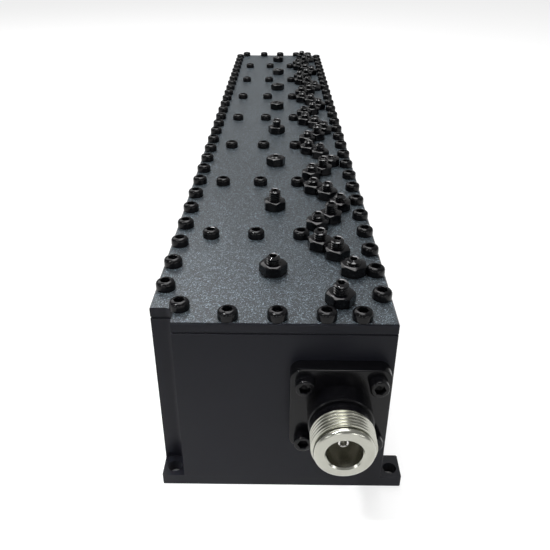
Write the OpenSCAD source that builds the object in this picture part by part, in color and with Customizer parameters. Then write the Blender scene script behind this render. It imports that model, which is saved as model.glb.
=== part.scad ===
// Cavity filter: eight coaxial cavities in one milled housing, closed by a screwed lid.
// A row of tuning screws stands over the resonators, with a fan of coupling screws beside each,
// and a coaxial port at each end. The origin is the centre of the housing's underside, +Z is up,
// and the length runs along Y with the front port at -Y.

/* [Housing] */
// Length of one cavity
cavity_l = 40; // [38:0.5:50]
// Inside width of the cavities
cavity_w = 50; // [50:0.5:60]
// Inside depth of the cavities below the lid
cavity_h = 48.4; // [46:0.2:60]
// Thickness of the two long side walls
side_wall = 6; // [5.5:0.25:9]
// Thickness of the two end walls
end_wall = 5.5; // [5.5:0.25:9]
// Thickness of the floor
floor_t = 4; // [3.5:0.25:8]
// Thickness of the ribs between the cavities
rib_t = 5; // [4.5:0.25:8]
// Width of the open passage past the free end of each rib
passage_w = 13.5; // [12:0.25:15]
// Corner radius that the cutter leaves in the cavities
cavity_corner_r = 4; // [1:0.25:6]
// Radius of the upright outer edges of housing and lid
edge_r = 0.4; // [0.2:0.1:1]
// Chamfer along both sides of the seam between housing and lid, and groove along it in the notch
seam_chamfer = 0.3; // [0.1:0.05:0.6]

/* [Feet] */
// Thickness of the foot and the lugs
foot_t = 3.4; // [3:0.2:6]
// Width of the notch above the front left foot
notch_w = 6.3; // [6:0.1:8]
// Depth of that notch along the filter
notch_d = 6.8; // [6.2:0.1:8]
// Radius in the notch's inner corner
notch_corner_r = 2.5; // [1:0.1:3]
// Wall left between the notch and the first cavity
notch_wall = 5; // [3:0.1:6]
// Height of the clearance cut above the foot, for a screw head
head_cut_h = 1.9; // [1:0.1:6]
// Diameter of that clearance cut
head_cut_d = 8; // [6:0.1:8.4]
// How far the lugs stand out from the side walls
lug_out = 5.8; // [5:0.1:9]
// Width of a lug along the filter
lug_l = 8.4; // [6.6:0.1:12]
// Corner radius of the lugs
lug_corner_r = 0.5; // [0.3:0.1:2.6]
// Diameter of the mounting holes
foot_hole_d = 3.9; // [2.5:0.1:4]
// Distance of the mounting holes from the end faces
foot_hole_in = 3.5; // [3.2:0.1:4]
// Distance of the lugs' holes from the side walls
lug_hole_out = 2.95; // [2.6:0.05:3.2]
// Distance of the foot's hole from the left side
foot_hole_x = 3.2; // [3:0.1:3.6]

/* [Lid] */
// Thickness of the lid
lid_t = 3; // [2:0.1:6]
// Chamfer along the lid's upper edges
lid_chamfer = 0.35; // [0.1:0.05:0.8]

/* [Lid screws] */
// Diameter of the screw shanks
lid_screw_d = 2.5; // [2:0.1:3]
// Length of thread below the lid
lid_screw_grip = 7; // [4:0.5:10]
// Clearance of the lid's screw holes, on the radius
lid_hole_clear = 0.2; // [0.1:0.05:0.3]
// Diameter of the heads
lid_head_d = 5.2; // [4.4:0.1:5.2]
// Height of the heads
lid_head_h = 2.6; // [1.6:0.1:3]
// Radius of the heads' rounded edge
lid_head_r = 1.1; // [0.3:0.1:1.1]
// Width across the flats of the sockets
lid_socket_af = 2.5; // [1.5:0.1:2.8]
// Distance of the edge rows from the side faces
edge_in = 2.7; // [2.5:0.1:2.8]
// Spacing aimed at along the left edge
left_pitch = 12.9; // [10:0.1:20]
// Spacing aimed at along the right edge
right_pitch = 12.6; // [10:0.1:20]
// First screw of the left edge, from the front face
left_first = 16.3; // [15:0.1:20]
// First screw of the right edge, from the front face, and last of both edges from the rear
edge_first = 12.5; // [10:0.1:15]
// Places of the end rows' screws across the lid, from the centre line
end_row = [-10.9, 1.3, 13.4, 22.2]; // [-24:0.1:24]
// Place of the rear row's extra corner screw, from the centre line
rear_corner_x = -24; // [-24.5:0.1:-20]
// Distance of the front corner screw from the notch's side, across the lid
corner_screw_x = 1.4; // [1.3:0.1:2.4]
// Distance of that screw behind the notch, along the lid
corner_screw_y = -0.1; // [-0.2:0.1:2.4]
// First and last screw of each rib, from the side wall and from the rib's free end
rib_screw_in = [5.5, 3.1]; // [2.5:0.1:8]

/* [Tuning screws] */
// Diameter of the tuning and coupling screws
tune_d = 4; // [3:0.1:4.4]
// Length of the tuning screws
tune_len = 26; // [22:0.5:28]
// Length of the coupling screws
couple_len = 17; // [13:0.5:19]
// Chamfer at both ends of the screws
tune_chamfer = 0.6; // [0.2:0.1:0.8]
// Width across the flats of the screws' sockets
tune_socket_af = 2; // [1.2:0.1:2]
// Depth of those sockets
tune_socket_deep = 2.5; // [1:0.1:4]
// Running clearance of the screws in lid and nuts, on the radius
run_clear = 0.05; // [0.02:0.01:0.1]
// Width of the lock nuts across the flats
nut_af = 7; // [6:0.1:7.1]
// Height of the lock nuts
nut_h = 3.2; // [2:0.1:5]
// Diameter of the nuts' flat faces inside their chamfer
nut_face_d = 6.5; // [5.8:0.1:6.8]
// Distance of each fan's middle screw from the right side wall
fan_middle_in = 2.9; // [2.8:0.1:4]
// Distance of each fan's inner pair of screws from the right side wall
fan_inner_in = 6.6; // [6:0.1:7]
// Distance of the inner pair's screws from the middle screw, along the filter
fan_inner_y = 9.8; // [9:0.1:10]
// Distance of each fan's outer pair of screws from the right side wall
fan_outer_in = 11.2; // [11:0.1:11.4]
// Distance of the outer pair's screws from the middle screw, along the filter
fan_outer_y = 15.6; // [15.4:0.1:17]
// Distances of the coupling screws next to the front and the rear port from the end faces
port_screw_in = [10, 14]; // [10:0.1:15]

/* [Resonators] */
// Diameter of the resonator posts
post_d = 14; // [10:0.5:18]
// Height of the resonators above the floor
post_h = 38; // [34:0.5:40]
// Diameter of the collar around each resonator's top
collar_d = 22; // [18.5:0.5:24]
// Thickness of that collar
collar_t = 2; // [1:0.1:4]
// Diameter of the resonators' bore
post_bore_d = 8; // [6:0.1:9]
// Depth of that bore
post_bore_deep = 20; // [18:0.5:24]
// Diameter of the spigot that seats in the floor
spigot_d = 6; // [4:0.1:8]
// Length of that spigot
spigot_len = 2.5; // [1:0.1:3]

/* [Ports] */
// Distance of the ports' axis from the right side wall
port_in = 7.7; // [7:0.1:9]
// Height of the ports above the underside
port_z = 31.9; // [24:0.1:34]
// Side of the square flange
flange_w = 25.4; // [24:0.1:26]
// Thickness of the flange
flange_t = 4.1; // [2:0.1:6]
// Corner radius of the flange
flange_corner_r = 3; // [0.5:0.1:3.4]
// Spacing of the flange screws
flange_pitch = 18.26; // [17.6:0.02:18.8]
// Diameter of the barrel behind the nose
barrel_d = 16.5; // [16:0.1:17.5]
// Length of the barrel
barrel_l = 5.4; // [3:0.1:8]
// Diameter of the neck between barrel and thread
neck_d = 14.6; // [13:0.1:15]
// Length of the neck
neck_l = 3.1; // [1:0.1:5]
// Outside diameter of the nose's thread
thread_d = 15.88; // [15:0.02:16]
// Length of the thread
thread_l = 5.1; // [2:0.1:12]
// Diameter of the groove in front of the thread
groove_d = 14; // [13.4:0.1:14.4]
// Length of that groove
groove_l = 0.4; // [0.3:0.1:2]
// Diameter of the plain rim at the front of the nose
rim_d = 14.7; // [14.5:0.1:15.8]
// Length of that rim
rim_l = 1.35; // [1.25:0.05:4]
// Radius of the rim's rounded edge
rim_r = 1; // [0.4:0.1:1.2]
// Diameter of the socket in the nose
mouth_d = 8.7; // [8:0.1:9.4]
// Chamfer at the socket's mouth
mouth_chamfer = 0.4; // [0.1:0.1:0.7]
// Depth of the socket to the insulator
mouth_deep = 9.5; // [8:0.1:11]
// Diameter of the spigot behind the flange
port_spigot_d = 12; // [11:0.1:13]
// Diameter of the centre contact
contact_d = 3.04; // [2.6:0.02:3.4]
// Distance of the contact's tip behind the rim
contact_in = 3.95; // [3.9:0.05:6]
// Diameter of the tip, to which the contact tapers
contact_tip_d = 2.5; // [2.3:0.1:2.6]
// Length of that taper
contact_taper_l = 0.6; // [0.2:0.1:1.5]
// Diameter of the hole in the contact's tip
contact_hole_d = 1.7; // [1:0.1:2]
// Depth of that hole, and of the slots that part the tip into fingers
contact_hole_deep = 4; // [2:0.1:6]
// Width of those slots
contact_slot_w = 0.3; // [0.2:0.05:0.5]

/* [Flange screws] */
// Diameter of the flange screws
flange_screw_d = 3; // [2.5:0.1:3.2]
// Diameter of their heads
flange_head_d = 4.8; // [4.6:0.1:5.6]
// Height of their heads
flange_head_h = 3; // [2:0.1:4]
// Radius of their heads' rounded edge
flange_head_r = 0.4; // [0.2:0.1:0.8]
// Width across the flats of their sockets
flange_socket_af = 2.5; // [2:0.1:3]

/* [Through line] */
// Diameter of the through line
line_d = 5; // [4.2:0.1:6]
// Gap between the through line's ends and the end walls
line_gap = 1.5; // [0.5:0.1:3]
// Length of the contact inside the through line
line_grip = 3.5; // [2:0.1:6]
// Diameter of the insulating posts
support_d = 8; // [7:0.1:10]
// Height of those posts above the line's axis
support_over = 4; // [3.5:0.1:6]

/* [Hidden] */
// Clearance of pieces that are pressed or screwed together, on the radius
seat_clear = 0.03;
// Overlap that makes joined shapes one solid
weld = 0.1;
// Fineness of the preview; every circle is a true curve
$fn = 48;

cavities = 8;
cavity_pitch = cavity_l + rib_t;
body_w = cavity_w + 2 * side_wall;
body_l = cavities * cavity_l + (cavities - 1) * rib_t + 2 * end_wall;
body_h = floor_t + cavity_h;
front = -body_l / 2;
left = -body_w / 2;
top = body_h + lid_t;
rib_end = body_w / 2 - side_wall - passage_w;
port_len = flange_t + barrel_l + neck_l + thread_l + groove_l + rim_l;
notch_block = [notch_w + notch_wall, notch_d + notch_wall];
edge_x = body_w / 2 - edge_in;
port_x = cavity_w / 2 - port_in;
// Room beyond the end of a screw in its blind hole
screw_hole_end = 0.6;
// Depth of a head's socket, as a share of the head's height
socket_share = 0.55;
// Heights to which the tuning screws are set above their nuts, front to rear
tune_rise = [2.2, 3.6, 0.8, 3.2, 0.4, 0.3, 0.3, 0.4];
// Heights to which the coupling screws are set above their nuts, cavity by cavity
couple_rise = [
    [3.0, 1.5, 2.9, 2.8], [2.1, 3.2, 2.1, 2.6, 1.8], [2.4, 3.4, 0.5, 2.5, 2.0], [2.0, 3.2, 2.2, 2.1, 2.3],
    [1.8, 2.3, 2.0, 2.2, 1.9], [2.2, 2.5, 1.8, 2.4, 2.1], [2.0, 2.3, 2.1, 2.0, 2.4], [2.2, 2.4, 2.0, 2.3]];
// Turn from one tuning screw's nut to the next
nut_turn = 37;
// Turn that sets a nut's flats, and not its corners, towards the edge rows
flat_out = 30;

// Middle of a cavity along the filter, and of the rib behind it
function cavity_y(c) = front + end_wall + cavity_l / 2 + c * cavity_pitch;
function rib_y(c) = cavity_y(c) + cavity_pitch / 2;

// A fan of coupling screws: [x, y from the cavity's middle, angle by which the nut is turned].
// The nuts of a pair turn their flats to each other.
pair_turn = atan2(fan_outer_in - fan_inner_in, fan_outer_y - fan_inner_y);
function fan_pair(side) = [
    [cavity_w / 2 - fan_inner_in, side * fan_inner_y, side * pair_turn],
    [cavity_w / 2 - fan_outer_in, side * fan_outer_y, side * pair_turn]];
fan_middle = [cavity_w / 2 - fan_middle_in, 0, flat_out];

// Coupling screws of one cavity, front to rear; the end cavities have one over the port in place of a pair
function fan_half(c, side) = side < 0
    ? (c == 0 ? [] : [fan_pair(-1)[1], fan_pair(-1)[0]])
    : (c == cavities - 1 ? [] : fan_pair(1));
function fan(c) = concat(fan_half(c, -1), [fan_middle], fan_half(c, 1));
function coupling_spots(c) = concat(
    c == 0 ? [[port_x, front + port_screw_in[0], 0]] : [],
    [for (p = fan(c)) [p[0], cavity_y(c) + p[1], p[2]]],
    c == cavities - 1 ? [[port_x, -front - port_screw_in[1], 0]] : []);

// Evenly spaced places from a to b, about as far apart as the pitch
function spread(a, b, pitch) =
    let (n = max(1, round((b - a) / pitch)))
    [for (i = [0 : n]) a + (b - a) * i / n];

// Lid screw places: edges, ends, the corner beside the notch, and three on each rib
rib_xs = let (a = left + side_wall + rib_screw_in[0], b = rib_end - rib_screw_in[1])
    [a, (a + b) / 2, b];
lid_spots = concat(
    [for (y = spread(front + left_first, -front - edge_first, left_pitch)) [-edge_x, y]],
    [for (y = spread(front + edge_first, -front - edge_first, right_pitch)) [edge_x, y]],
    [for (x = end_row) [x, front + end_wall / 2]],
    [for (x = concat([rear_corner_x], end_row)) [x, -front - end_wall / 2]],
    [[left + notch_w + corner_screw_x, front + notch_d + corner_screw_y]],
    [for (c = [0 : cavities - 2]) for (x = rib_xs) [x, rib_y(c)]]);

// Mounting holes: the foot's in the notch, and one in each lug
foot_spot = [left + foot_hole_x, front + foot_hole_in];
lug_spots = [for (s = [[1, -1], [1, 1], [-1, 1]])
    [s[0] * (body_w / 2 + lug_hole_out), s[1] * (body_l / 2 - foot_hole_in)]];

black_paint = [0.07, 0.07, 0.08];
black_screw = [0.12, 0.12, 0.13];
silver = [0.80, 0.80, 0.78];
white = [0.93, 0.92, 0.88];
warm_grey = [0.38, 0.36, 0.32];

// A block with rounded upright edges, centred in x and y
module rounded_block(w, l, h, r) {
    translate([-w / 2 + r, -l / 2, 0]) cube([w - 2 * r, l, h]);
    translate([-w / 2, -l / 2 + r, 0]) cube([w, l - 2 * r, h]);
    for (sx = [-1, 1], sy = [-1, 1])
        translate([sx * (w / 2 - r), sy * (l / 2 - r), 0]) cylinder(h = h, r = r);
}

// The notch at the front left corner, from height z to height z + h, wider by grow both ways
module notch_cut(z, h, grow) {
    r = notch_corner_r;
    w = notch_w + grow + weld;
    d = notch_d + grow + weld;
    translate([left - weld, front - weld, z]) {
        cube([w - r, d, h]);
        cube([w, d - r, h]);
        translate([w - r, d - r, 0]) cylinder(h = h, r = r);
    }
}

// The seam's groove inside the notch
module notch_seam() {
    notch_cut(body_h - seam_chamfer, 2 * seam_chamfer, seam_chamfer);
}

// A lug at the right front, its outer corners rounded; its root fills the body's rounded edge
module lug() {
    r = lug_corner_r;
    root = edge_r + weld;
    translate([body_w / 2 - root, front, 0]) {
        cube([lug_out - r + root, lug_l, foot_t]);
        translate([0, r, 0]) cube([lug_out + root, lug_l - 2 * r, foot_t]);
        for (y = [r, lug_l - r]) translate([lug_out - r + root, y, 0]) cylinder(h = foot_t, r = r);
    }
}

// Waste that chamfers the four outer edges at height z
module edge_waste(z, chamfer) {
    s = chamfer * sqrt(2);
    for (side = [-1, 1]) {
        translate([side * body_w / 2, 0, z]) rotate([0, 45, 0])
            cube([s, body_l + 2 * weld, s], center = true);
        translate([0, side * body_l / 2, z]) rotate([45, 0, 0])
            cube([body_w + 2 * weld, s, s], center = true);
    }
}

// All cavities with the passage beside the ribs
module cavity_cut() {
    h = cavity_h + weld;
    for (c = [0 : cavities - 1])
        translate([0, cavity_y(c), floor_t]) rounded_block(cavity_w, cavity_l, h, cavity_corner_r);
    inner_l = body_l - 2 * end_wall;
    translate([rib_end + passage_w / 2, 0, floor_t])
        rounded_block(passage_w, inner_l, h, cavity_corner_r);
}

module housing() {
    color(black_paint) difference() {
        union() {
            rounded_block(body_w, body_l, body_h, edge_r);
            lug();
            mirror([0, 1, 0]) lug();
            mirror([1, 0, 0]) mirror([0, 1, 0]) lug();
        }
        difference() {
            cavity_cut();
            translate([left, front, 0]) cube([notch_block[0], notch_block[1], body_h + 2 * weld]);
        }
        notch_cut(foot_t, body_h, 0);
        notch_seam();
        edge_waste(body_h, seam_chamfer);
        translate([foot_spot[0], foot_spot[1], foot_t]) cylinder(h = head_cut_h, d = head_cut_d);
        for (p = concat([foot_spot], lug_spots))
            translate([p[0], p[1], -weld]) cylinder(h = foot_t + 2 * weld, d = foot_hole_d);
        for (p = lid_spots)
            translate([p[0], p[1], body_h - lid_screw_grip - screw_hole_end])
                cylinder(h = lid_screw_grip + screw_hole_end + weld, d = lid_screw_d + 2 * seat_clear);
        for (c = [0 : cavities - 1])
            translate([0, cavity_y(c), floor_t - spigot_len])
                cylinder(h = spigot_len + weld, d = spigot_d + 2 * seat_clear);
        for (end = [-1, 1]) at_port(end) {
            translate([0, 0, -end_wall - weld])
                cylinder(h = end_wall + 2 * weld, d = port_spigot_d + 2 * seat_clear);
            at_flange_screws() translate([0, 0, -end_wall + screw_hole_end])
                cylinder(h = end_wall, d = flange_screw_d + 2 * seat_clear);
        }
    }
}

module lid() {
    color(black_paint) difference() {
        translate([0, 0, body_h]) rounded_block(body_w, body_l, lid_t, edge_r);
        notch_cut(body_h - weld, lid_t + 2 * weld, 0);
        notch_seam();
        edge_waste(top, lid_chamfer);
        edge_waste(body_h, seam_chamfer);
        for (p = lid_spots)
            translate([p[0], p[1], body_h - weld])
                cylinder(h = lid_t + 2 * weld, d = lid_screw_d + 2 * lid_hole_clear);
        for (c = [0 : cavities - 1], p = concat([[0, cavity_y(c)]], coupling_spots(c)))
            translate([p[0], p[1], body_h - weld])
                cylinder(h = lid_t + 2 * weld, d = tune_d + 2 * run_clear);
    }
}

// A hexagon socket's hollow from z = 0 upwards
module socket_cut(af, h) {
    cylinder(h = h, d = af / cos(30), $fn = 6);
}

// A cap screw, head up, with its seat at z = 0, its head's edge rounded and a hexagon socket
module socket_screw(shank_d, shank_l, head_d, head_h, round_r, socket_af) {
    rim = head_d / 2;
    difference() {
        rotate_extrude() {
            translate([0, -shank_l]) square([shank_d / 2, shank_l + head_h]);
            square([rim, head_h - round_r]);
            square([rim - round_r, head_h]);
            translate([rim - round_r, head_h - round_r]) circle(r = round_r);
        }
        translate([0, 0, head_h * (1 - socket_share)]) socket_cut(socket_af, head_h);
    }
}

module lid_screws() {
    color(black_screw)
        for (p = lid_spots)
            translate([p[0], p[1], top])
                socket_screw(lid_screw_d, lid_t + lid_screw_grip, lid_head_d, lid_head_h,
                    lid_head_r, lid_socket_af);
}

// A hexagon nut with both faces chamfered at the corners
module lock_nut() {
    corner = nut_af / cos(30);
    face_r = nut_face_d / 2;
    drop = (corner / 2 - face_r) * tan(30);
    wide = corner / 2 + weld;
    difference() {
        intersection() {
            cylinder(h = nut_h, d = corner, $fn = 6);
            rotate_extrude() polygon([
                [0, 0], [face_r, 0], [wide, drop], [wide, nut_h - drop], [face_r, nut_h], [0, nut_h]]);
        }
        translate([0, 0, -weld]) cylinder(h = nut_h + 2 * weld, d = tune_d + 2 * run_clear);
    }
}

module lock_nuts() {
    color(black_screw)
        for (c = [0 : cavities - 1]) {
            translate([0, cavity_y(c), top]) rotate([0, 0, nut_turn * c]) lock_nut();
            for (p = coupling_spots(c))
                translate([p[0], p[1], top]) rotate([0, 0, p[2]]) lock_nut();
        }
}

// A headless screw with a hexagon socket, its upper end at height rise above the nut
module set_screw(spot, len, rise, turn) {
    edge = tune_chamfer;
    r = tune_d / 2;
    color(black_screw)
        translate([spot[0], spot[1], top + nut_h + rise]) rotate([0, 0, turn]) difference() {
            rotate_extrude() polygon([
                [0, 0], [r - edge, 0], [r, -edge], [r, edge - len], [r - edge, -len], [0, -len]]);
            translate([0, 0, -tune_socket_deep]) socket_cut(tune_socket_af, tune_socket_deep + weld);
        }
}

module tuning_screw(c) {
    set_screw([0, cavity_y(c)], tune_len, tune_rise[c], nut_turn * (c + 1));
}

module coupling_screw(c, k) {
    set_screw(coupling_spots(c)[k], couple_len, couple_rise[c][k], nut_turn * (c + k));
}

module resonators() {
    color(silver)
        for (c = [0 : cavities - 1])
            translate([0, cavity_y(c), floor_t]) difference() {
                union() {
                    translate([0, 0, -spigot_len]) cylinder(h = spigot_len + weld, d = spigot_d);
                    cylinder(h = post_h, d = post_d);
                    translate([0, 0, post_h - collar_t]) cylinder(h = collar_t, d = collar_d);
                }
                translate([0, 0, post_h - post_bore_deep])
                    cylinder(h = post_bore_deep + weld, d = post_bore_d);
            }
}

// Places children at a port, with +Z pointing out of the end face: end -1 is the front, 1 the rear
module at_port(end) {
    translate([port_x, end * body_l / 2, port_z]) rotate([-90 * end, 0, 0]) children();
}

module at_flange_screws() {
    for (sx = [-1, 1], sy = [-1, 1])
        translate([sx * flange_pitch / 2, sy * flange_pitch / 2, 0]) children();
}

// The round outside of a connector in section: spigot, barrel, neck, thread, groove and rounded rim
module connector_section() {
    rim = rim_d / 2;
    barrel_z = flange_t + barrel_l;
    thread_z = barrel_z + neck_l;
    groove_z = thread_z + thread_l;
    rim_z = groove_z + groove_l;
    translate([0, -end_wall]) square([port_spigot_d / 2, end_wall + flange_t]);
    square([barrel_d / 2, barrel_z]);
    square([neck_d / 2, thread_z]);
    translate([0, thread_z]) square([thread_d / 2, thread_l]);
    square([groove_d / 2, rim_z]);
    translate([0, rim_z]) square([rim, rim_l - rim_r]);
    translate([rim - rim_r, port_len - rim_r]) circle(r = rim_r);
    square([rim - rim_r, port_len]);
}

module connector_body(end) {
    mouth_r = mouth_d / 2;
    color(black_paint) at_port(end) difference() {
        union() {
            rounded_block(flange_w, flange_w, flange_t, flange_corner_r);
            rotate_extrude() connector_section();
        }
        translate([0, 0, -end_wall - weld]) cylinder(h = port_len + end_wall + 2 * weld, d = mouth_d);
        translate([0, 0, port_len - mouth_chamfer])
            cylinder(h = mouth_chamfer + weld, r1 = mouth_r, r2 = mouth_r + mouth_chamfer + weld);
        at_flange_screws() translate([0, 0, -weld])
            cylinder(h = flange_t + 2 * weld, d = flange_screw_d + 2 * seat_clear);
    }
}

module insulator(end) {
    l = end_wall + port_len - mouth_deep;
    color(warm_grey) at_port(end) translate([0, 0, -end_wall]) difference() {
        cylinder(h = l, d = mouth_d - 2 * seat_clear);
        translate([0, 0, -weld]) cylinder(h = l + 2 * weld, d = contact_d + 2 * seat_clear);
    }
}

// The contact's tip is tapered, bored and slotted, and its tail reaches into the through line
module contact(end) {
    tail = end_wall + line_gap + line_grip;
    tip = port_len - contact_in;
    color(silver) at_port(end) difference() {
        rotate_extrude() polygon([
            [0, -tail], [contact_d / 2, -tail], [contact_d / 2, tip - contact_taper_l],
            [contact_tip_d / 2, tip], [0, tip]]);
        translate([0, 0, tip - contact_hole_deep])
            cylinder(h = contact_hole_deep + weld, d = contact_hole_d);
        for (a = [45, 135])
            translate([0, 0, tip]) rotate([0, 0, a])
                cube([contact_slot_w, contact_d + weld, 2 * contact_hole_deep], center = true);
    }
}

module flange_screws() {
    color(black_screw)
        for (end = [-1, 1]) at_port(end) at_flange_screws() translate([0, 0, flange_t])
            socket_screw(flange_screw_d, flange_t + end_wall - 2 * screw_hole_end, flange_head_d,
                flange_head_h, flange_head_r, flange_socket_af);
}

module through_line() {
    l = body_l - 2 * (end_wall + line_gap);
    color(silver) translate([port_x, l / 2, port_z]) rotate([90, 0, 0]) difference() {
        cylinder(h = l, d = line_d);
        for (z = [-weld, l - line_grip - screw_hole_end])
            translate([0, 0, z])
                cylinder(h = line_grip + screw_hole_end + weld, d = contact_d + 2 * seat_clear);
    }
}

module line_supports() {
    h = port_z + support_over - floor_t;
    color(white)
        for (c = [0 : cavities - 2])
            translate([port_x, rib_y(c), floor_t]) difference() {
                cylinder(h = h, d = support_d);
                translate([0, support_d, port_z - floor_t]) rotate([90, 0, 0])
                    cylinder(h = 2 * support_d, d = line_d + 2 * seat_clear);
            }
}

housing();
lid();
lid_screws();
lock_nuts();
resonators();
through_line();
line_supports();
flange_screws();
connector_body(-1);  // front_connector_body
connector_body(1);  // rear_connector_body
insulator(-1);  // front_insulator
insulator(1);  // rear_insulator
contact(-1);  // front_contact
contact(1);  // rear_contact
for (c = [1 : cavities]) {
    tuning_screw(c - 1);
    for (k = [1 : len(coupling_spots(c - 1))])
        coupling_screw(c - 1, k - 1);
}
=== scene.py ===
# %% [markdown]
# # A cavity filter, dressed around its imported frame
# A cavity filter is a long milled box with a screwed lid. Every cavity in it is tuned by a set
# screw in the lid, and each set screw is held by a lock nut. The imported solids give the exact
# places of all pieces. This lesson keeps the solids that already look right, models those that
# need a finer form, and gives every piece its finish.
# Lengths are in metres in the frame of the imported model: +Z is up, and the front port looks along -Y.

# %% Load the frame
import math

import bmesh
import bpy
from mathutils import Matrix, Vector


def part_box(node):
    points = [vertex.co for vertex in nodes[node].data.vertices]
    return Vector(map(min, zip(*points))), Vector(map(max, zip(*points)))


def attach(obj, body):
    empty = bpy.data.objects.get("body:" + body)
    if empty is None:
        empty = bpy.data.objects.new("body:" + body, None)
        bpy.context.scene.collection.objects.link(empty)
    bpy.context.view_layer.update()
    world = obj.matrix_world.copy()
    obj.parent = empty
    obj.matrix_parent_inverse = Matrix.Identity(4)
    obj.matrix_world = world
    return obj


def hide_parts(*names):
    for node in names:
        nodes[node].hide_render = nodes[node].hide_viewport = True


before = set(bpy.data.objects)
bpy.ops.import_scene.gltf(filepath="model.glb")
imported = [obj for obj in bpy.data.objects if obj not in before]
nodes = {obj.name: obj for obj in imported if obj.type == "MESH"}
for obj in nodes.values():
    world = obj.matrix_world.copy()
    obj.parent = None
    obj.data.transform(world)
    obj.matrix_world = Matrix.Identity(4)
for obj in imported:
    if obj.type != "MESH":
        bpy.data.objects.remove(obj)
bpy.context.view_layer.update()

MM = 0.001
# Two places closer than this count as one
NEAR = 0.001 * MM
BODY = "filter_body"
scene = bpy.context.scene

# %% Measure the places that everything else follows
housing_low, housing_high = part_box("housing")
lid_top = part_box("lid")[1].z
contact_low, contact_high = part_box("front_contact")
port_x = (contact_low.x + contact_high.x) / 2
port_z = (contact_low.z + contact_high.z) / 2
print("lid top %.1f mm, port at %.1f, %.1f mm" % (lid_top / MM, port_x / MM, port_z / MM))

# %% [markdown]
# ## Shader maths as plain expressions
# A finish is a small network of nodes. Wiring Math nodes by hand is slow to read, so one class wraps
# a socket and lets + - * and > add the Math nodes. A second class makes every other node in one method:
# it takes the node's type, its settings and what goes into its sockets.

# %% A value that varies over a surface
class Field:
    def __init__(self, network, socket):
        self.network = network
        self.socket = socket

    def maths(self, operation, first, second):
        return self.network.node("Math", {"operation": operation}, {0: first, 1: second})

    def __add__(self, other):
        return self.maths("ADD", self, other)

    def __sub__(self, other):
        return self.maths("SUBTRACT", self, other)

    def __rsub__(self, other):
        return self.maths("SUBTRACT", other, self)

    def __mul__(self, other):
        return self.maths("MULTIPLY", self, other)

    def __gt__(self, other):
        return self.maths("GREATER_THAN", self, other)

    __radd__ = __add__
    __rmul__ = __mul__


# %% A network of nodes
class Network:
    def __init__(self, owner):
        owner.use_nodes = True
        self.tree = owner.node_tree

    def node(self, kind, settings=None, inputs=None, output=0):
        made = self.tree.nodes.new("ShaderNode" + kind)
        for name, value in (settings or {}).items():
            if name == "stops":
                self.set_stops(made.color_ramp, value)
            else:
                setattr(made, name, value)
        for name, value in (inputs or {}).items():
            self.give(made.inputs[name], value)
        return Field(self, made.outputs[output])

    def set_stops(self, ramp, stops):
        while len(ramp.elements) < len(stops):
            ramp.elements.new(1.0)
        for element, (position, level) in zip(ramp.elements, stops):
            element.position = position
            element.color = (level, level, level, 1)

    def give(self, socket, value):
        if isinstance(value, Field):
            self.tree.links.new(value.socket, socket)
        else:
            socket.default_value = value


# %% A finish: a network around one shader
# Places of the colour sockets on a Mix node, which has a set of sockets for each kind of data
COLOUR_A, COLOUR_B, COLOUR_RESULT = 6, 7, 2
# A noise lies between 0 and 1, around this value
NOISE_MIDDLE = 0.5


class Finish(Network):
    def __init__(self, name, constants):
        self.material = bpy.data.materials.new(name)
        super().__init__(self.material)
        self.shader = self.tree.nodes["Principled BSDF"]
        for socket, value in constants.items():
            self.shader.inputs[socket].default_value = value
        self.place = self.node("TexCoord", output="Object")

    def feed(self, socket, value):
        self.give(self.shader.inputs[socket], value)

    def noise(self, size, detail=2.0, roughness=0.5, place=None):
        inputs = {"Vector": place or self.place, "Scale": 1 / size, "Detail": detail,
                  "Roughness": roughness}
        return self.node("TexNoise", {}, inputs)

    def swing(self, noise, width):
        """A change around 0, for a value that varies with a noise."""
        return (noise - NOISE_MIDDLE) * width

    def ramp(self, value, *stops):
        return self.node("ValToRGB", {"stops": stops}, {"Fac": value})

    def blend(self, share, one, other):
        one, other = (value if isinstance(value, Field) else (*value, 1) for value in (one, other))
        inputs = {0: share, COLOUR_A: one, COLOUR_B: other}
        return self.node("Mix", {"data_type": "RGBA"}, inputs, COLOUR_RESULT)

    def bump(self, height, depth):
        self.feed("Normal", self.node("Bump", {}, {"Height": height, "Distance": depth, "Strength": 1.0}))


# %% [markdown]
# ## Black paint
# The housing has a smooth satin coat. The lid's top was sprayed with a coarser, greyer one, whose grains
# glitter under a clear varnish, partly by their bump and gloss and partly by a painted glint: a few grains
# get a pale colour. Its edges carry the housing's coat. One flat colour with some gloss would look like
# plastic. Here a large soft noise keeps the smooth coat from being even. For the coarse coat a noise would
# be too soft, so Voronoi cells stand for the grains: each cell has a chance of its own, which says how pale
# and how rough that grain is, and a dome for the bump. The height of a point tells which of the two coats it
# has.

# %% The smooth coat
CLOUD = 38 * MM
SKIN = 0.3 * MM
COAT_DARK = (0.006, 0.0065, 0.010)
COAT_PALE = (0.012, 0.0125, 0.017)
COAT_GLOSS = 0.36
COAT_GLOSS_SWING = 0.15
COAT_SPECULAR = 0.16
COAT_DEPTH = 0.1 * MM
SKIN_SHARE = 0.05


def smooth_coat(finish):
    """Colour, roughness and height of the smooth coat, the height as a share of a bump's depth."""
    cloud = finish.noise(CLOUD, detail=3.0)
    skin = finish.noise(SKIN)
    gloss = COAT_GLOSS + finish.swing(cloud, COAT_GLOSS_SWING)
    return finish.blend(cloud, COAT_DARK, COAT_PALE), gloss, skin * SKIN_SHARE


coat = Finish("housing_paint", {"Specular IOR Level": COAT_SPECULAR})
colour, gloss, height = smooth_coat(coat)
coat.feed("Base Color", colour)
coat.feed("Roughness", gloss)
coat.bump(height, COAT_DEPTH)
housing_paint = coat.material
print("painted:", housing_paint.name)

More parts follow.
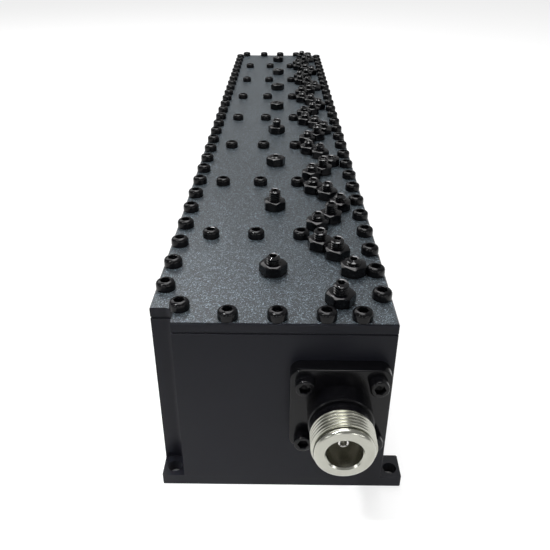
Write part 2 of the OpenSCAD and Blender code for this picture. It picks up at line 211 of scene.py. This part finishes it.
# %% The grained coat on the lid's top
GRAIN = 0.23 * MM
GRAIN_DEPTH = 0.14 * MM
TOP_DARK = (0.005, 0.008, 0.011)
# The pale grain colour is partly the coat's own colour and partly a painted glint
TOP_PALE_AND_GLINT = (0.295, 0.370, 0.430)
TOP_GLOSS = 0.4
TOP_GLOSS_SWING = 0.2
# How pale a grain is, by its chance: most stay dark, and a few are pale, partly the grain's own colour and
# partly a painted glint
SPECK_AND_GLINT_STOPS = ((0.0, 0.0), (0.64, 0.055), (0.85, 0.33), (1.0, 1.0))
VARNISH = 0.6
VARNISH_GLOSS = 0.32
TOP_EDGE = 0.02 * MM

coat = Finish("lid_paint", {"Specular IOR Level": COAT_SPECULAR, "Coat Roughness": VARNISH_GLOSS})
level = coat.node("SeparateXYZ", {}, {0: coat.place}, "Z")
on_top = level > lid_top - TOP_EDGE
cells = {"Vector": coat.place, "Scale": 1 / GRAIN}
chance = coat.node("SeparateColor", {}, {0: coat.node("TexVoronoi", {}, cells, "Color")})
dome = 1 - coat.node("TexVoronoi", {}, cells, "Distance")
speck_and_glint = coat.ramp(chance, *SPECK_AND_GLINT_STOPS)
colour, gloss, height = smooth_coat(coat)
# On the top, the pale grains are partly the grain's own colour and partly painted glints
coat.feed("Base Color", coat.blend(on_top, colour, coat.blend(speck_and_glint, TOP_DARK, TOP_PALE_AND_GLINT)))
grain_gloss = TOP_GLOSS - COAT_GLOSS + coat.swing(chance, TOP_GLOSS_SWING)
coat.feed("Roughness", gloss + on_top * grain_gloss)
coat.feed("Coat Weight", on_top * VARNISH)
coat.bump(height + on_top * dome, GRAIN_DEPTH)
lid_paint = coat.material
print("painted:", lid_paint.name)

# %% [markdown]
# ## Black steel
# Screws and nuts are blackened steel. The coat is thin, a little oily and uneven, so its gloss
# changes from place to place. One noise varies colour and gloss together, and a finer one gives the
# skin of the coat.

# %% Blacken the screws and nuts
SMEAR = 1.3 * MM
SMEAR_SWING = 0.15
SKIN_DEPTH = 0.004 * MM


def black_steel(name, dark, pale, gloss, specular):
    finish = Finish(name, {"Specular IOR Level": specular})
    smear = finish.noise(SMEAR, detail=4.0, roughness=0.6)
    skin = finish.noise(SKIN)
    finish.feed("Base Color", finish.blend(smear, dark, pale))
    finish.feed("Roughness", gloss + finish.swing(smear, SMEAR_SWING))
    finish.bump(skin, SKIN_DEPTH)
    return finish.material


black_screw = black_steel("black_screw", dark=(0.002, 0.002, 0.0025), pale=(0.005, 0.005, 0.006),
                          gloss=0.16, specular=0.22)
black_nut = black_steel("black_nut", dark=(0.001, 0.001, 0.0015), pale=(0.003, 0.003, 0.004),
                        gloss=0.13, specular=0.3)
set_screw_steel = black_steel("set_screw_steel", dark=(0.002, 0.002, 0.0025), pale=(0.006, 0.006, 0.007),
                              gloss=0.14, specular=0.8)
connector_black = black_steel("connector_black", dark=(0.0015, 0.0015, 0.002), pale=(0.004, 0.004, 0.005),
                              gloss=0.2, specular=0.24)
print("blackened:", black_screw.name, black_nut.name, set_screw_steel.name, connector_black.name)

# %% [markdown]
# ## Plated metal and insulators
# The nose of each port is nickel plated, the contacts and the parts inside are silver plated, and the
# insulators are moulded. Plain metal would look like chrome. Turned metal carries fine rings from the
# tool, so its noise is stretched across the port's axis, and a larger noise gives the tarnish.

# %% Plate the nose, the contacts and the inner conductors
TOOL_MARK = 0.16 * MM
MARK_SWING = 0.1
MARK_STRETCH = (0.08, 1.0, 0.08)
TARNISH = 5 * MM
TARNISH_SWING = 0.12


def plated(name, dark, pale, gloss, mark_depth):
    finish = Finish(name, {"Metallic": 1.0})
    around = finish.node("Mapping", {}, {"Vector": finish.place, "Scale": MARK_STRETCH})
    marks = finish.noise(TOOL_MARK, place=around)
    tarnish = finish.noise(TARNISH, detail=4.0, roughness=0.6)
    finish.feed("Base Color", finish.blend(tarnish, dark, pale))
    finish.feed("Roughness", gloss + finish.swing(tarnish, TARNISH_SWING) + finish.swing(marks, MARK_SWING))
    finish.bump(marks, mark_depth)
    return finish.material


nickel = plated("nickel_plate", dark=(0.38, 0.38, 0.335), pale=(0.54, 0.54, 0.48),
                gloss=0.24, mark_depth=0.004 * MM)
silver = plated("silver_plate", dark=(0.74, 0.73, 0.70), pale=(0.88, 0.87, 0.84),
                gloss=0.26, mark_depth=0.003 * MM)
print("plated:", nickel.name, silver.name)

# %% Mould the insulators
FLOW = 2.5 * MM
MOULD_SKIN = 0.2 * MM
MOULD_GLOSS = 0.45
MOULD_GLOSS_SWING = 0.2
MOULD_SPECULAR = 0.4


def moulded(name, dark, pale):
    finish = Finish(name, {"Specular IOR Level": MOULD_SPECULAR})
    flow = finish.noise(FLOW, detail=3.0)
    skin = finish.noise(MOULD_SKIN)
    finish.feed("Base Color", finish.blend(flow, dark, pale))
    finish.feed("Roughness", MOULD_GLOSS + finish.swing(skin, MOULD_GLOSS_SWING))
    finish.bump(skin, SKIN_DEPTH)
    return finish.material


insulator_grey = moulded("insulator_grey", dark=(0.52, 0.49, 0.43), pale=(0.62, 0.59, 0.52))
insulator_white = moulded("insulator_white", dark=(0.78, 0.77, 0.73), pale=(0.88, 0.87, 0.84))
print("moulded:", insulator_grey.name, insulator_white.name)

# %% [markdown]
# ## Finishes for the solids that stay
# Housing, lid, contacts and the parts inside are right as packed. They keep their meshes, and only
# the material in their slots changes.

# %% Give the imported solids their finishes
kept = {"housing": housing_paint, "lid": lid_paint, "resonators": silver, "through_line": silver,
        "line_supports": insulator_white, "front_contact": silver, "rear_contact": silver,
        "front_insulator": insulator_grey, "rear_insulator": insulator_grey}
for name, material in kept.items():
    for slot in nodes[name].material_slots:
        slot.material = material
print("kept as packed:", ", ".join(kept))

# %% [markdown]
# ## A small lathe
# Screws and connectors are turned parts. Blender's spin would turn a drawn profile, but a loop of
# edges that is carried from step to step can also change from a circle into a hexagon on the way,
# which is just what a socket needs. So the lathe here extrudes a loop of edges through steps of
# radius and height. Either may be a function of the angle.

# %% Loops of edges around the axis
def ring(bm, sides, radius, height, x=0.0, y=0.0):
    """A new loop around the axis, or around another place."""
    place = Matrix.Translation((x, y, height))
    made = bmesh.ops.create_circle(bm, segments=sides, radius=radius, matrix=place)
    return list({edge for corner in made["verts"] for edge in corner.link_edges})


def carry(bm, rim):
    """Extrudes a loop in place, and gives back its new corners and edges."""
    made = bmesh.ops.extrude_edge_only(bm, edges=rim)["geom"]
    corners = {part for part in made if isinstance(part, bmesh.types.BMVert)}
    edges = [part for part in made if isinstance(part, bmesh.types.BMEdge)]
    return corners, [edge for edge in edges if set(edge.verts) <= corners]


def turn(bm, rim, *steps):
    """Carries a loop through steps of radius and height, and gives back the last loop."""
    for radius, height in steps:
        corners, rim = carry(bm, rim)
        for corner in corners:
            angle = math.atan2(corner.co.y, corner.co.x)
            reach = radius(angle) if callable(radius) else radius
            level = height(angle) if callable(height) else height
            corner.co = (reach * math.cos(angle), reach * math.sin(angle), level)
    return rim


def close(bm, rim, height):
    """Carries a loop to one point on the axis."""
    corners, rim = carry(bm, rim)
    bmesh.ops.pointmerge(bm, verts=list(corners), merge_co=(0, 0, height))


# %% Curves for the lathe's steps
def arc(radius, height, bend, start, end, steps):
    """Steps along an arc of radius bend, around the place at that radius and height."""
    angles = [math.radians(start + (end - start) * step / steps) for step in range(steps + 1)]
    return [(radius + bend * math.cos(angle), height + bend * math.sin(angle)) for angle in angles]


def hexagon(across, widest=math.inf):
    """Radius of a hexagon at each angle, its corners cut back to widest."""
    sixth = math.pi / 3
    return lambda angle: min(widest, across / 2 / math.cos(angle % sixth - sixth / 2))


print("a hexagon is %.3f times as wide over its corners" % (2 * hexagon(1)(0)))

# %% [markdown]
# ## Pieces in the frame
# A finished piece sits at the origin with its place in its mesh, rides on a body, and stands for the
# imported node that it replaces. Linked copies of one mesh would be lighter for things that repeat, but a
# node is one piece, so its copies are joined in one mesh.

# %% Turn a mesh into a piece
SHARP = math.radians(32)


def piece(bm, name, body, slot, node, *materials):
    bmesh.ops.recalc_face_normals(bm, faces=bm.faces)
    mesh = bpy.data.meshes.new(name)
    bm.to_mesh(mesh)
    bm.free()
    mesh.shade_smooth()
    mesh.set_sharp_from_angle(angle=SHARP)
    for material in materials:
        mesh.materials.append(material)
    made = bpy.data.objects.new(name, mesh)
    scene.collection.objects.link(made)
    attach(made, body)
    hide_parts(node)
    return made


def scatter(bm, places):
    """Repeats the template in bm at every place, and takes the template itself away."""
    template = bm.verts[:] + bm.edges[:] + bm.faces[:]
    first = bm.verts[:]
    for place in places:
        copy = bmesh.ops.duplicate(bm, geom=template)["geom"]
        corners = [part for part in copy if isinstance(part, bmesh.types.BMVert)]
        bmesh.ops.transform(bm, matrix=place, verts=corners)
    bmesh.ops.delete(bm, geom=first, context="VERTS")


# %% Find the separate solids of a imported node
PLACE_DIGITS = 5


def solids(node):
    """Lowest corner, highest corner and all corners of each solid, in order of place."""
    bm = bmesh.new()
    bm.from_mesh(nodes[node].data)
    bmesh.ops.remove_doubles(bm, verts=bm.verts, dist=NEAR)
    left = set(bm.verts)
    found = []
    while left:
        waiting = [left.pop()]
        places = []
        while waiting:
            corner = waiting.pop()
            places.append(corner.co.copy())
            reached = {edge.other_vert(corner) for edge in corner.link_edges} & left
            left -= reached
            waiting.extend(reached)
        low = Vector(min(place[axis] for place in places) for axis in range(3))
        high = Vector(max(place[axis] for place in places) for axis in range(3))
        found.append((low, high, places))
    bm.free()
    return sorted(found, key=lambda solid: [round(value, PLACE_DIGITS) for value in solid[0]])


# %% [markdown]
# ## Socket screws
# The lid is held by small cap screws with a rounded edge and a hexagon socket, and each port by four
# more. One screw is turned on the lathe, its loop of edges becomes the hexagon, and copies go to the
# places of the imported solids. A fitter leaves every socket at another angle, so each copy is turned.

# %% Turn one cap screw, seated at height 0
CAP_SIDES = 36
EDGE_BREAK = 0.12 * MM
TIP_BREAK = 0.3 * MM
SHOULDER_STEPS = 6
# Below a socket, the drill's point is as deep as the socket's width divided by this
POINT_PART = 6


def cap_screw(bm, shank_r, shank_l, head_r, head_h, edge_r, socket, socket_deep):
    tip = ring(bm, CAP_SIDES, shank_r - TIP_BREAK, -shank_l)
    close(bm, tip, -shank_l)
    rim = turn(bm, tip, (shank_r, TIP_BREAK - shank_l), (shank_r, 0), (head_r - EDGE_BREAK, 0),
               (head_r, EDGE_BREAK))
    rim = turn(bm, rim, *arc(head_r - edge_r, head_h - edge_r, edge_r, 0, 90, SHOULDER_STEPS))
    rim = turn(bm, rim, (hexagon(socket + 2 * EDGE_BREAK), head_h),
               (hexagon(socket), head_h - EDGE_BREAK), (hexagon(socket), head_h - socket_deep))
    close(bm, rim, head_h - socket_deep - socket / POINT_PART)


# %% Lid screws
LID_SHANK_R = 1.25 * MM
LID_EDGE_R = 1.1 * MM
LID_SOCKET = 2.5 * MM
LID_SOCKET_DEEP = 1.43 * MM
STRAY_TURN = math.radians(47)

spots = solids("lid_screws")
low, high, corners = spots[0]
bm = bmesh.new()
cap_screw(bm, LID_SHANK_R, lid_top - low.z, (high.x - low.x) / 2, high.z - lid_top,
          LID_EDGE_R, LID_SOCKET, LID_SOCKET_DEEP)
places = []
for number, (low, high, corners) in enumerate(spots):
    middle = (low + high) / 2
    seat = Matrix.Translation((middle.x, middle.y, lid_top))
    places.append(seat @ Matrix.Rotation(STRAY_TURN * number, 4, "Z"))
scatter(bm, places)
lid_screws = piece(bm, "lid_cap_screws", BODY, "black_screw", "lid_screws", black_screw)
print("lid screws:", len(spots), "faces:", len(lid_screws.data.polygons))

# %% Flange screws, whose heads stand out along the ports
FLANGE_T = 4.1 * MM
FLANGE_SHANK_R = 1.5 * MM
FLANGE_EDGE_R = 0.4 * MM
FLANGE_SOCKET = 2.5 * MM
FLANGE_SOCKET_DEEP = 1.65 * MM


def port_place(y):
    """Turns +Z out of the end face that lies at y."""
    end = math.copysign(1, y)
    return Matrix.Translation((0, y, 0)) @ Matrix.Rotation(math.radians(-90 * end), 4, "X")


spots = solids("flange_screws")
low, high, corners = spots[0]
head_out = housing_low.y - FLANGE_T
bm = bmesh.new()
cap_screw(bm, FLANGE_SHANK_R, high.y - head_out, (high.x - low.x) / 2, head_out - low.y,
          FLANGE_EDGE_R, FLANGE_SOCKET, FLANGE_SOCKET_DEEP)
places = []
for number, (low, high, corners) in enumerate(spots):
    middle = (low + high) / 2
    seat = Matrix.Translation((middle.x, 0, middle.z)) @ port_place(math.copysign(head_out, middle.y))
    places.append(seat @ Matrix.Rotation(STRAY_TURN * number, 4, "Z"))
scatter(bm, places)
flange_screws = piece(bm, "flange_cap_screws", BODY, "black_screw", "flange_screws", connector_black)
print("flange screws:", len(spots), "faces:", len(flange_screws.data.polygons))

# %% [markdown]
# ## Lock nuts
# A nut is a hexagon whose corners are cut back by a cone at both faces, and that cone's rim is what
# catches the light. Cutting a prism with a cone by booleans works, but the lathe gives cleaner faces:
# the side's upper edge is simply as low as the cone is at that angle.

# %% Turn one nut, seated at height 0
NUT_SIDES = 48
NUT_ACROSS = 7.0 * MM
NUT_H = 3.2 * MM
NUT_FACE_R = 3.25 * MM
NUT_CORNER_R = 3.97 * MM
NUT_BORE_R = 2.05 * MM
CONE = math.tan(math.radians(30))


def lock_nut(bm):
    side = hexagon(NUT_ACROSS, NUT_CORNER_R)
    drop = lambda angle: (side(angle) - NUT_FACE_R) * CONE
    bore = ring(bm, NUT_SIDES, NUT_BORE_R, 0)
    rim = turn(bm, bore, (NUT_FACE_R, 0), (side, drop), (side, lambda angle: NUT_H - drop(angle)),
               (NUT_FACE_R, NUT_H), (NUT_BORE_R + EDGE_BREAK, NUT_H), (NUT_BORE_R, NUT_H - EDGE_BREAK))
    bmesh.ops.bridge_loops(bm, edges=rim + bore)


# %% Lock nuts
spots = solids("lock_nuts")
bm = bmesh.new()
lock_nut(bm)
places = []
for low, high, corners in spots:
    middle = (low + high) / 2
    reach = [(corner - middle).xy for corner in corners]
    widest = max(reach, key=lambda step: step.length)
    seat = Matrix.Translation((middle.x, middle.y, lid_top))
    places.append(seat @ Matrix.Rotation(math.atan2(widest.y, widest.x), 4, "Z"))
scatter(bm, places)
lock_nuts = piece(bm, "hexagon_lock_nuts", BODY, "black_nut", "lock_nuts", black_nut)
print("lock nuts:", len(spots), "faces:", len(lock_nuts.data.polygons))

# %% [markdown]
# ## Screw threads
# A thread is one tooth swept along a helix. Blender's spin sweeps the tooth and lifts it a little at
# each step, so that after one turn its lower end meets its own upper end. Merging the doubles makes
# it a tube, and two flat cuts give it clean ends. A plain cylinder with a bump would be lighter, but
# its outline would stay smooth, and the thread shows against the light.

# %% Sweep a thread between two heights
# Shares of the pitch at which a tooth leaves its root, reaches its crest and leaves that
TOOTH_FOOT, TOOTH_CREST, TOOTH_FALL = 0.2, 0.5, 0.7
SPARE_TURNS = 2
CUT_NEAR = 0.0001 * MM


def open_rim(bm, height, near=NEAR):
    """Edges at that height that have a face on one side only."""
    return [edge for edge in bm.edges if edge.is_boundary
            and all(abs(corner.co.z - height) < near for corner in edge.verts)]


def thread(bm, crest_r, root_r, pitch, low, high, sides):
    """Makes the threaded tube and gives back its lower and its upper loop of edges."""
    turns = math.ceil((high - low) / pitch) + SPARE_TURNS
    start = low - pitch
    tooth = [(root_r, 0), (root_r, TOOTH_FOOT), (crest_r, TOOTH_CREST), (crest_r, TOOTH_FALL), (root_r, 1)]
    corners = [bm.verts.new((radius, 0, start + share * pitch)) for radius, share in tooth]
    edges = [bm.edges.new(pair) for pair in zip(corners, corners[1:])]
    bmesh.ops.spin(bm, geom=corners + edges, cent=(0, 0, 0), axis=(0, 0, 1), dvec=(0, 0, pitch / sides),
                   angle=math.tau * turns, steps=sides * turns, use_merge=False)
    bmesh.ops.remove_doubles(bm, verts=bm.verts, dist=NEAR)
    for height, out in ((low, -1), (high, 1)):
        everything = bm.verts[:] + bm.edges[:] + bm.faces[:]
        bmesh.ops.bisect_plane(bm, geom=everything, dist=CUT_NEAR, plane_co=(0, 0, height),
                               plane_no=(0, 0, out), clear_outer=True)
    return open_rim(bm, low), open_rim(bm, high)


# %% [markdown]
# ## Tuning and coupling screws
# These are headless set screws with a chamfered end and a hexagon socket. Each one moves by itself,
# so each is a piece of its own, on the body of the solid that it replaces.

# %% Cut one set screw, its upper end at height 0
SCREW_SIDES = 30
SCREW_PITCH = 0.7 * MM
SCREW_DEPTH = 0.38 * MM
SCREW_CHAMFER = 0.6 * MM
SCREW_SOCKET = 2.0 * MM
SCREW_SOCKET_DEEP = 2.5 * MM


def set_screw(radius, length):
    bm = bmesh.new()
    lower, upper = thread(bm, radius, radius - SCREW_DEPTH, SCREW_PITCH,
                          SCREW_CHAMFER - length, -SCREW_CHAMFER, SCREW_SIDES)
    end = ring(bm, SCREW_SIDES, radius - SCREW_CHAMFER, -length)
    bmesh.ops.bridge_loops(bm, edges=lower + end)
    close(bm, end, -length)
    top = ring(bm, SCREW_SIDES, radius - SCREW_CHAMFER, 0)
    bmesh.ops.bridge_loops(bm, edges=upper + top)
    socket = hexagon(SCREW_SOCKET)
    rim = turn(bm, top, (socket, -EDGE_BREAK), (socket, -SCREW_SOCKET_DEEP))
    close(bm, rim, -SCREW_SOCKET_DEEP - SCREW_SOCKET / POINT_PART)
    return bm


# %% Set screws
LENGTH_DIGITS = 2

set_screws = []
templates = {}
screw_names = sorted(name for name in nodes if "tuning_screw" in name or "coupling_screw" in name)
for number, node in enumerate(screw_names):
    low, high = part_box(node)
    middle = (low + high) / 2
    length = round((high.z - low.z) / MM, LENGTH_DIGITS) * MM
    if length not in templates:
        templates[length] = set_screw((high.x - low.x) / 2, length)
    bm = templates[length].copy()
    seat = Matrix.Translation((middle.x, middle.y, high.z))
    place = seat @ Matrix.Rotation(STRAY_TURN * number, 4, "Z")
    bmesh.ops.transform(bm, matrix=place, verts=bm.verts)
    set_screws.append(piece(bm, "threaded_" + node, node, "tuning_screw", node, set_screw_steel))
for template in templates.values():
    template.free()
print("set screws:", len(set_screws), "faces:", sum(len(made.data.polygons) for made in set_screws))

# %% [markdown]
# ## The connectors
# Each port is one turned and milled piece: a square flange, a barrel, a neck, and a nose with the
# thread for the plug's nut. It is black up to the neck, and the nose is bright. The flange is drawn
# as an outline with holes, filled and extruded, and the lathe goes on from its middle hole.

# %% Sizes of a connector
PORT_SIDES = 96
FLANGE_CORNER_R = 3.0 * MM
FLANGE_PITCH = 18.26 * MM
FLANGE_BREAK = 0.3 * MM
CORNER_STEPS = 8
BREAK_STEPS = 3
BARREL_R = 8.25 * MM
BARREL_L = 5.4 * MM
NECK_R = 7.3 * MM
NECK_L = 3.1 * MM
NOSE_R = 7.94 * MM
NOSE_PITCH = 1.058 * MM
NOSE_DEPTH = 0.6 * MM
NOSE_L = 5.1 * MM
GROOVE_R = 7.0 * MM
GROOVE_L = 0.4 * MM
RIM_R = 7.35 * MM
RIM_ROUND = 1.0 * MM
RIM_STEPS = 10
MOUTH_R = 4.35 * MM
MOUTH_CHAMFER = 0.4 * MM
SPIGOT_R = 6.0 * MM

connector_low, connector_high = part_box("front_connector_body")
port_l = housing_low.y - connector_low.y
spigot_l = connector_high.y - housing_low.y
flange_w = connector_high.x - connector_low.x
print("port %.1f mm long, flange %.1f mm wide" % (port_l / MM, flange_w / MM))


# %% Find parts of the flange
# A face whose normal rises or falls less than this stands upright
UPRIGHT = 0.5
# The flange's outline lies within this of its sides
OUTLINE_REACH = 2 * MM


def level_loop(bm, radius, height):
    """Edges of the loop around the axis at that radius and height."""
    corners = {corner for corner in bm.verts if abs(corner.co.xy.length - radius) < NEAR
               and abs(corner.co.z - height) < NEAR}
    return [edge for edge in bm.edges if set(edge.verts) <= corners]


def is_upright(face):
    return abs(face.normal.z) < UPRIGHT


def on_outline(edge):
    """Whether an edge runs along the outline of the flange's outer face."""
    one, other = (corner.co for corner in edge.verts)
    middle = (one + other) / 2
    return (all(abs(place.z - FLANGE_T) < NEAR for place in (one, other))
            and any(is_upright(face) for face in edge.link_faces)
            and max(abs(middle.x), abs(middle.y)) > flange_w / 2 - OUTLINE_REACH)


# %% Draw the flange around a middle hole
def flange(bm):
    half = flange_w / 2
    square = bmesh.ops.create_grid(bm, x_segments=1, y_segments=1, size=half)
    bmesh.ops.bevel(bm, geom=square["verts"], offset=FLANGE_CORNER_R, affect="VERTICES",
                    segments=CORNER_STEPS, profile=0.5, material=-1)
    bmesh.ops.delete(bm, geom=bm.faces[:], context="FACES_ONLY")
    for x in (-FLANGE_PITCH / 2, FLANGE_PITCH / 2):
        for y in (-FLANGE_PITCH / 2, FLANGE_PITCH / 2):
            ring(bm, CAP_SIDES, FLANGE_SHANK_R, 0, x, y)
    ring(bm, PORT_SIDES, BARREL_R, 0)
    bmesh.ops.triangle_fill(bm, use_beauty=True, edges=bm.edges[:], normal=(0, 0, 1))
    made = bmesh.ops.extrude_face_region(bm, geom=bm.faces[:])["geom"]
    lifted = [part for part in made if isinstance(part, bmesh.types.BMVert)]
    bmesh.ops.translate(bm, vec=(0, 0, FLANGE_T), verts=lifted)
    inner = [face for face in bm.faces if is_upright(face)
             and all(abs(corner.co.xy.length - BARREL_R) < NEAR for corner in face.verts)]
    bmesh.ops.delete(bm, geom=inner, context="FACES")
    outline = [edge for edge in bm.edges if on_outline(edge)]
    bmesh.ops.bevel(bm, geom=outline, offset=FLANGE_BREAK, affect="EDGES",
                    segments=BREAK_STEPS, profile=0.5, material=-1)


# %% Cut the nose's thread
NOSE_NEAR = 0.01 * MM


def add_nose_thread(bm, low, high):
    """Cuts the thread by itself, and adds it through a mesh that is then thrown away."""
    nose = bmesh.new()
    thread(nose, NOSE_R, NOSE_R - NOSE_DEPTH, NOSE_PITCH, low, high, PORT_SIDES)
    carrier = bpy.data.meshes.new("nose_thread")
    nose.to_mesh(carrier)
    nose.free()
    bm.from_mesh(carrier)
    bpy.data.meshes.remove(carrier)


# %% Turn the rest of the connector from the flange's middle hole
def connector(bm):
    flange(bm)
    barrel_z = FLANGE_T + BARREL_L
    thread_z = barrel_z + NECK_L
    groove_z = thread_z + NOSE_L
    rim_z = groove_z + GROOVE_L
    neck = turn(bm, level_loop(bm, BARREL_R, FLANGE_T), (BARREL_R, barrel_z - FLANGE_BREAK),
                (BARREL_R - FLANGE_BREAK, barrel_z), (NECK_R, barrel_z), (NECK_R, thread_z - EDGE_BREAK))
    add_nose_thread(bm, thread_z, groove_z)
    bmesh.ops.bridge_loops(bm, edges=neck + open_rim(bm, thread_z, NOSE_NEAR))
    groove = ring(bm, PORT_SIDES, GROOVE_R, groove_z + EDGE_BREAK)
    bmesh.ops.bridge_loops(bm, edges=groove + open_rim(bm, groove_z, NOSE_NEAR))
    rim = turn(bm, groove, (GROOVE_R, rim_z), (RIM_R - EDGE_BREAK, rim_z), (RIM_R, rim_z + EDGE_BREAK))
    rim = turn(bm, rim, *arc(RIM_R - RIM_ROUND, port_l - RIM_ROUND, RIM_ROUND, 0, 90, RIM_STEPS))
    rim = turn(bm, rim, (MOUTH_R + MOUTH_CHAMFER, port_l), (MOUTH_R, port_l - MOUTH_CHAMFER))
    rim = turn(bm, rim, (MOUTH_R, -spigot_l), (SPIGOT_R - TIP_BREAK, -spigot_l),
               (SPIGOT_R, TIP_BREAK - spigot_l), (SPIGOT_R, 0))
    bmesh.ops.bridge_loops(bm, edges=rim + level_loop(bm, BARREL_R, 0))
    for face in bm.faces:
        centre = face.calc_center_median()
        bright = centre.z > thread_z - EDGE_BREAK or centre.xy.length < MOUTH_R + MOUTH_CHAMFER
        face.material_index = int(bright)


# %% Connectors at both ends
for end, y in (("front", housing_low.y), ("rear", housing_high.y)):
    bm = bmesh.new()
    connector(bm)
    place = Matrix.Translation((port_x, 0, port_z)) @ port_place(y)
    bmesh.ops.transform(bm, matrix=place, verts=bm.verts)
    made = piece(bm, end + "_port", BODY, "connector_body", end + "_connector_body", connector_black, nickel)
    print(made.name, "faces:", len(made.data.polygons))

# %% [markdown]
# ## Floor and light
# The filter stands on a plain floor in a dim, even studio. A floor that is white by its light alone
# would need so much of it that black paint turns grey. So the floor glows, but only where the camera
# or a reflection sees it. Where something close hides the floor from the sky, as in the mounting
# holes, the glow is taken away, which keeps those holes dark.

# %% An even sky
def seen_share(network):
    """1 where the camera, a reflection or a look through glass meets the surface, and 0 for its light."""
    seen = [network.node("LightPath", output=kind)
            for kind in ("Is Camera Ray", "Is Glossy Ray", "Is Transmission Ray")]
    return seen[0] + seen[1] + seen[2]


def shader_output(network, kind):
    """The socket that the finished shader goes into."""
    return next(node for node in network.tree.nodes if node.type == kind).inputs["Surface"]


WHITE = (1, 1, 1, 1)
SKY_LIGHT = 0.29
world = bpy.data.worlds.new("studio")
scene.world = world
sky = Network(world)
even_light = sky.node("Background", {}, {"Color": WHITE, "Strength": SKY_LIGHT})
sky.give(shader_output(sky, "OUTPUT_WORLD"), even_light)
print("sky at %.2f" % SKY_LIGHT)

# %% Lay the floor
FLOOR_HALF = 3.0
FLOOR_PALE = 0.4
FLOOR_GLOW = 0.72
FLOOR_REACH = 10 * MM
# Shares of open sky at which the glow is gone, and at which it is whole
HOLE_FREE = 0.28
OPEN_FREE = 0.48
floor_paint = bpy.data.materials.new("pale_floor")
ground = Network(floor_paint)
matt = ground.node("BsdfDiffuse", {}, {"Color": (FLOOR_PALE, FLOOR_PALE, FLOOR_PALE, 1)})
glow = ground.node("Emission", {}, {"Color": WHITE, "Strength": FLOOR_GLOW})
both = ground.node("AddShader", {}, {0: matt, 1: glow})
free = ground.node("AmbientOcclusion", {}, {"Distance": FLOOR_REACH}, "AO")
lit = ground.node("MapRange", {}, {"Value": free, "From Min": HOLE_FREE, "From Max": OPEN_FREE})
mixed = ground.node("MixShader", {}, {0: seen_share(ground) * lit, 1: matt, 2: both})
ground.give(shader_output(ground, "OUTPUT_MATERIAL"), mixed)

bm = bmesh.new()
bmesh.ops.create_grid(bm, x_segments=1, y_segments=1, size=FLOOR_HALF)
bmesh.ops.translate(bm, vec=(0, 0, housing_low.z), verts=bm.verts)
floor_mesh = bpy.data.meshes.new("floor")
bm.to_mesh(floor_mesh)
bm.free()
floor_mesh.materials.append(floor_paint)
floor = bpy.data.objects.new("floor", floor_mesh)
scene.collection.objects.link(floor)
print("floor at %.1f mm" % (housing_low.z / MM))

# %% [markdown]
# ## Lamps
# Black and shiny things are drawn by what they mirror, so each lamp hangs where a certain face looks.
# The overhead lamp is mirrored by the cut corners of the nuts and the round edges of the screw heads.
# The rear one lifts the lid's front left, with a small one that adds a pool of light. The four at the
# front stand low, where the flanks of the nose's thread look. They stay weak, so that a colour renders
# about as it is written.

# %% Hang the lamps
LID_FRONT = Vector((-0.045, -0.19, lid_top))
LID_MIDDLE = Vector((0.0, 0.1, lid_top))
FRONT_AZIMUTHS = (-44, -8, 30, 52)


def softbox(name, aim, azimuth, elevation, distance, size, watts, spread=180):
    """Hangs a lamp by its direction from the place it is aimed at: azimuth 0 is the camera's side."""
    lamp = bpy.data.lights.new(name, "AREA")
    lamp.shape = "RECTANGLE"
    lamp.size, lamp.size_y = size
    lamp.energy = watts
    lamp.spread = math.radians(spread)
    around, up = math.radians(azimuth), math.radians(elevation)
    way = Vector((math.sin(around) * math.cos(up), -math.cos(around) * math.cos(up), math.sin(up)))
    made = bpy.data.objects.new(name, lamp)
    made.location = aim + distance * way
    made.rotation_euler = way.to_track_quat("Z", "Y").to_euler()
    scene.collection.objects.link(made)


softbox("overhead_strip", LID_MIDDLE, azimuth=0, elevation=90, distance=0.65, size=(0.3, 0.8), watts=4.2)
softbox("rear_softbox", LID_FRONT, azimuth=-151, elevation=40, distance=1.0, size=(0.8, 0.5), watts=2.6)
softbox("front_left_softbox", LID_FRONT, azimuth=-60, elevation=60, distance=0.45, size=(0.1, 0.1),
        watts=0.026, spread=10)
for number, azimuth in enumerate(FRONT_AZIMUTHS):
    softbox("front_softbox_%d" % number, LID_FRONT, azimuth, elevation=18, distance=1.0,
            size=(0.16, 0.16), watts=0.6)
print("lamps:", [lamp.name for lamp in bpy.data.lights])

# %% [markdown]
# ## Camera
# The camera stands in front of the filter and a little above it, looking down along its length. Its
# place, tilt and lens come from matching the housing's edges with the photograph.

# %% Place the camera
IMAGE_PIXELS = 550
FOCAL_PIXELS = 606
SENSOR = 36.0
NEAREST = 10 * MM
CAMERA_PLACE = (1.45 * MM, -304.5 * MM, 137.8 * MM)
PITCH = math.radians(29.52)
YAW = math.radians(-0.37)
ROLL = math.radians(-0.335)

lens = bpy.data.cameras.new("photo_camera")
lens.sensor_width = SENSOR
lens.lens = SENSOR * FOCAL_PIXELS / IMAGE_PIXELS
lens.clip_start = NEAREST
camera = bpy.data.objects.new("photo_camera", lens)
camera.matrix_world = (Matrix.Translation(CAMERA_PLACE) @ Matrix.Rotation(-YAW, 4, "Z")
                       @ Matrix.Rotation(math.pi / 2 - PITCH, 4, "X") @ Matrix.Rotation(-ROLL, 4, "Z"))
scene.collection.objects.link(camera)
scene.camera = camera
print("lens %.2f mm" % lens.lens)

# %% [markdown]
# ## View transform
# The render uses the Standard view transform. The dressed model must stay in the box of the
# imported one.

# %% Set the view transform
scene.view_settings.view_transform = "Standard"
